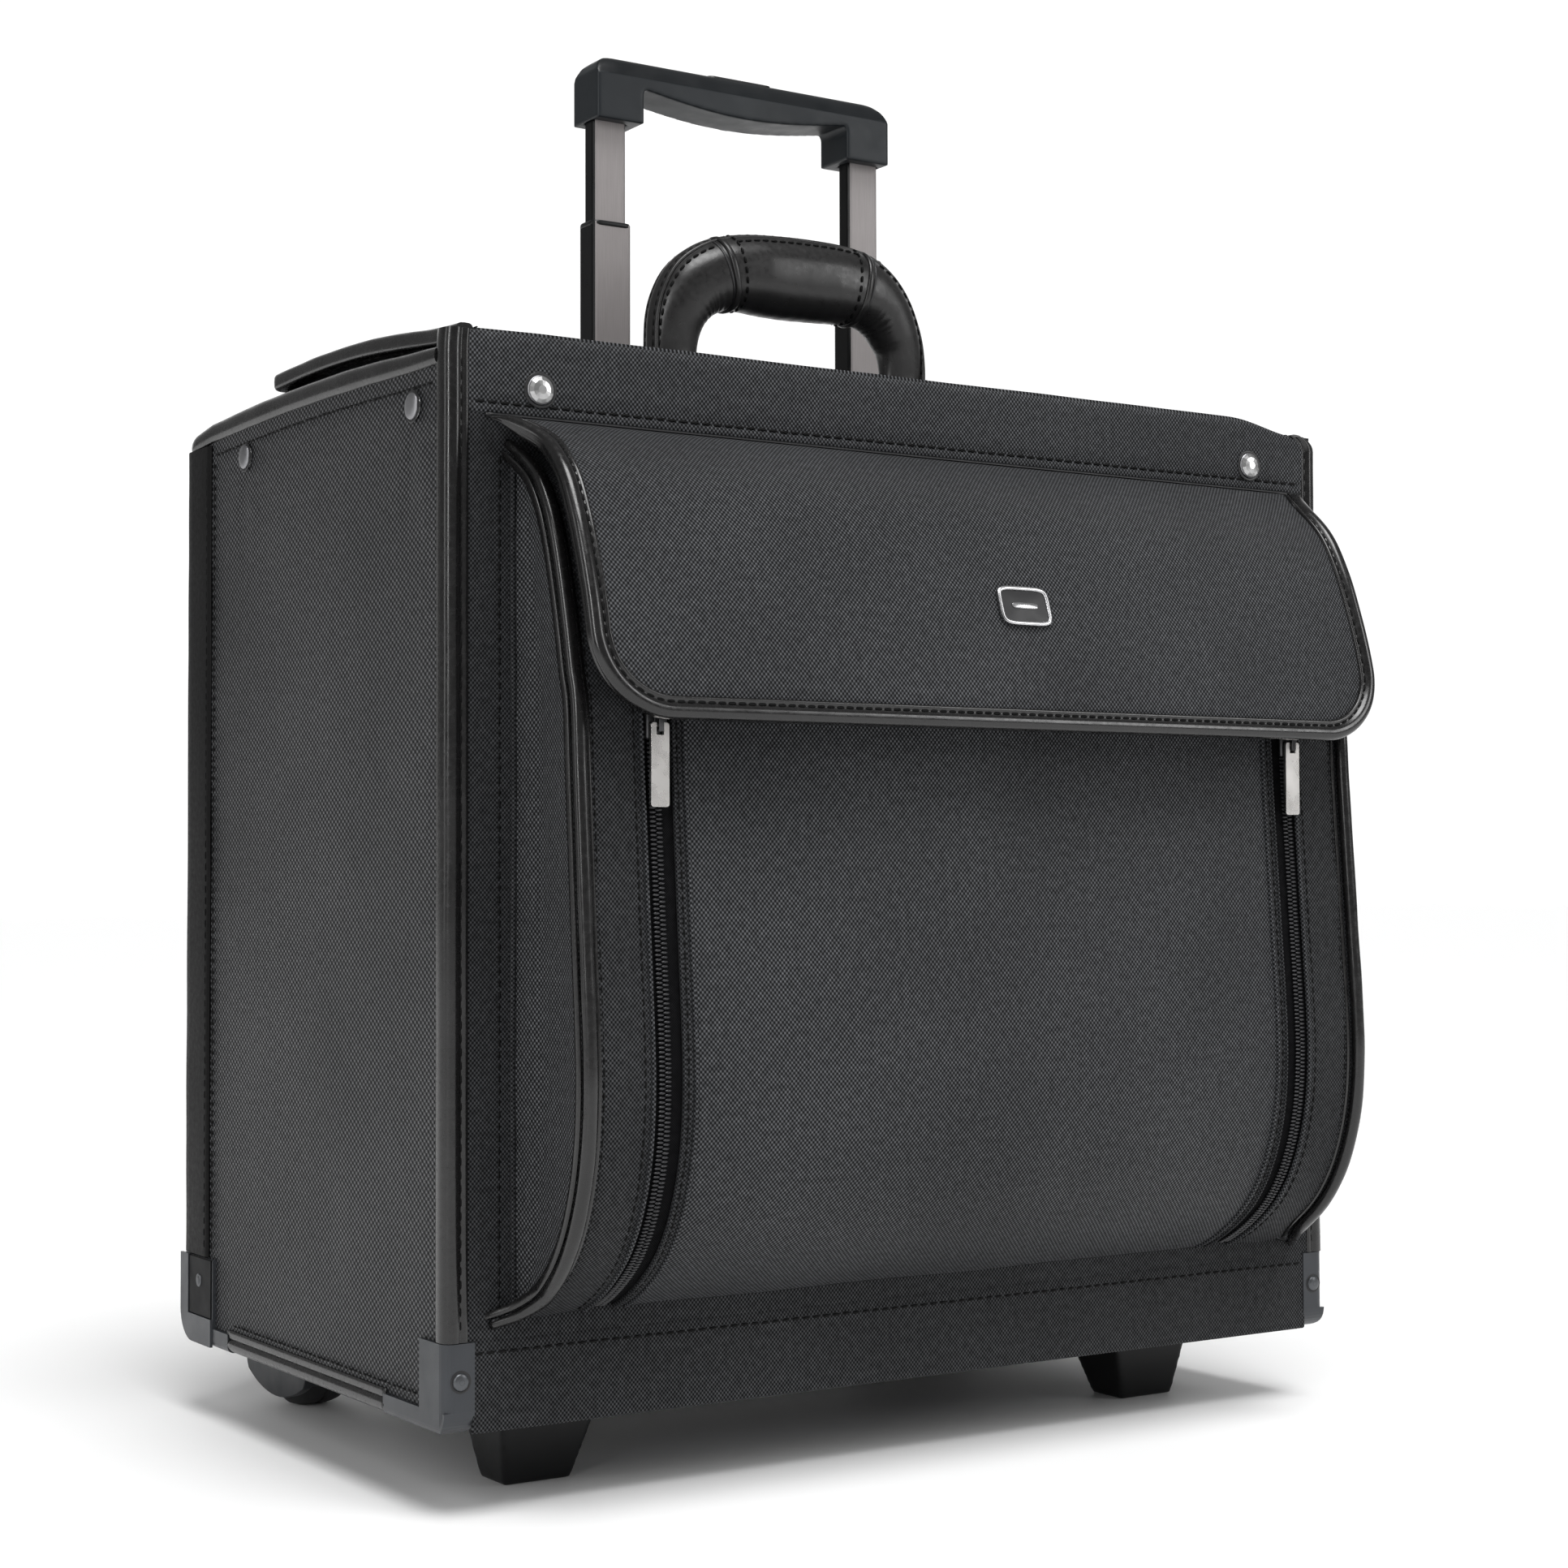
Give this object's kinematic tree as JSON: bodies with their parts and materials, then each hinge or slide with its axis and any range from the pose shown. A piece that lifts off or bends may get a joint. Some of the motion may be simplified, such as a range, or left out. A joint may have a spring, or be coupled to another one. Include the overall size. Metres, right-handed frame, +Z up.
{
  "type": "rolling flight case",
  "caption": "Fabric-covered box case with hinged top lids, carry handle, bellied front pocket under a flap, feet, wheels and a telescopic trolley handle.",
  "frame": {"origin": "centre of the bounding box, on the floor that the feet and wheels stand on", "axes": "+X to the right seen from the front, +Y from the front pocket to the back, +Z up along the trolley handle"},
  "size_m": [0.459, 0.3632, 0.6327],
  "materials": {
    "fabric": "woven ballistic polyester, dark charcoal",
    "lining": "plain woven lining",
    "leather": "smooth fine-grained black leather, semi-gloss",
    "nickel": "satin nickel plate",
    "bracket_metal": "satin dark grey",
    "rail_metal": "satin black",
    "tube_metal": "anodised warm grey, satin",
    "axle_steel": "turned steel",
    "grip_plastic": "fine-textured slate grey",
    "black_plastic": "satin black",
    "zip": "black woven tape with coil teeth",
    "wheel_rubber": "dull black"
  },
  "bodies": {
    "case": {"front_panel": "fabric", "rear_panel": "fabric", "left_panel": "fabric", "right_panel": "fabric", "base_panel": "fabric", "divider_panel": "lining", "mouth_frame": "nickel", "front_top_band": "fabric", "front_bottom_band": "fabric", "rear_top_band": "fabric", "rear_bottom_band": "fabric", "front_left_trim": "leather", "front_right_trim": "leather", "rear_left_trim": "leather", "rear_right_trim": "leather", "left_top_binding": "leather", "right_top_binding": "leather", "left_bottom_piping": "leather", "right_bottom_piping": "leather", "front_left_bracket": "bracket_metal", "front_right_bracket": "bracket_metal", "rear_left_bracket": "bracket_metal", "rear_right_bracket": "bracket_metal", "pocket_front_panel": "fabric", "pocket_gusset_left": "fabric", "pocket_gusset_right": "fabric", "pocket_piping_left": "leather", "pocket_piping_right": "leather", "zip_left": "zip", "zip_right": "zip", "foot_left": "black_plastic", "foot_right": "black_plastic", "wheel_housing_left": "grip_plastic", "wheel_housing_right": "grip_plastic", "wheel_axle_left": "axle_steel", "wheel_axle_right": "axle_steel", "trolley_rail_left": "rail_metal", "trolley_rail_right": "rail_metal", "trolley_top_bezel": "grip_plastic"},
    "trolley_lower": {"trolley_middle_tube_left": "tube_metal", "trolley_middle_tube_right": "tube_metal"},
    "trolley_upper": {"trolley_inner_tube_left": "tube_metal", "trolley_inner_tube_right": "tube_metal", "trolley_grip": "grip_plastic"},
    "release_button": {"release_button": "black_plastic"},
    "front_lid": {"front_lid": "fabric", "handle_plate": "bracket_metal"},
    "rear_lid": {"rear_lid": "fabric"},
    "carry_handle": {"carry_handle": "leather"},
    "pocket_flap": {"flap_panel": "fabric", "flap_binding": "leather", "emblem": "nickel"},
    "zip_slider_left": {"zip_slider_left": "nickel"},
    "zip_slider_right": {"zip_slider_right": "nickel"},
    "zip_pull_left": {"zip_pull_left": "nickel"},
    "zip_pull_right": {"zip_pull_right": "nickel"},
    "wheel_left": {"wheel_left": "wheel_rubber"},
    "wheel_right": {"wheel_right": "wheel_rubber"}
  },
  "joints": [
    {"name": "trolley_lower_slide", "type": "slide", "parent": "case", "child": "trolley_lower", "axis": [0, 0, 1], "range_m": [-0.078, 0.18]},
    {"name": "trolley_upper_slide", "type": "slide", "parent": "trolley_lower", "child": "trolley_upper", "axis": [0, 0, 1], "range_m": [-0.046, 0.2]},
    {"name": "release_button_press", "type": "slide", "parent": "trolley_upper", "child": "release_button", "axis": [0, 0, -1], "range_m": [0, 0.003], "stiffness_N_per_m": 400, "springref_m": -0.002},
    {"name": "front_lid_hinge", "type": "hinge", "parent": "case", "child": "front_lid", "pos_m": [0, -0.10905, 0.4585], "axis": [1, 0, 0], "range_deg": [0, 100]},
    {"name": "rear_lid_hinge", "type": "hinge", "parent": "case", "child": "rear_lid", "pos_m": [0, 0.16115, 0.4528], "axis": [-1, 0, 0], "range_deg": [0, 100]},
    {"name": "carry_handle_hinge", "type": "hinge", "parent": "front_lid", "child": "carry_handle", "pos_m": [0, -0.00235, 0.4775], "axis": [1, 0, 0], "range_deg": [-20, 70]},
    {"name": "pocket_flap_hinge", "type": "hinge", "parent": "case", "child": "pocket_flap", "pos_m": [0, -0.11285, 0.4237], "axis": [-1, 0, 0], "range_deg": [0, 95]},
    {"name": "zip_slider_left_travel", "type": "slide", "parent": "case", "child": "zip_slider_left", "axis": [0, -0.0736, -0.9973], "range_m": [0, 0.11]},
    {"name": "zip_pull_left_hinge", "type": "hinge", "parent": "zip_slider_left", "child": "zip_pull_left", "pos_m": [-0.163, -0.1613, 0.3035], "axis": [-1, 0, 0], "range_deg": [0, 85]},
    {"name": "zip_slider_right_travel", "type": "slide", "parent": "case", "child": "zip_slider_right", "axis": [0, -0.0736, -0.9973], "range_m": [0, 0.11]},
    {"name": "zip_pull_right_hinge", "type": "hinge", "parent": "zip_slider_right", "child": "zip_pull_right", "pos_m": [0.163, -0.1613, 0.3035], "axis": [-1, 0, 0], "range_deg": [0, 85]},
    {"name": "wheel_left_spin", "type": "hinge", "parent": "case", "child": "wheel_left", "pos_m": [-0.1735, 0.14465, 0.03], "axis": [-1, 0, 0], "continuous": true},
    {"name": "wheel_right_spin", "type": "hinge", "parent": "case", "child": "wheel_right", "pos_m": [0.1735, 0.14465, 0.03], "axis": [-1, 0, 0], "continuous": true}
  ]
}
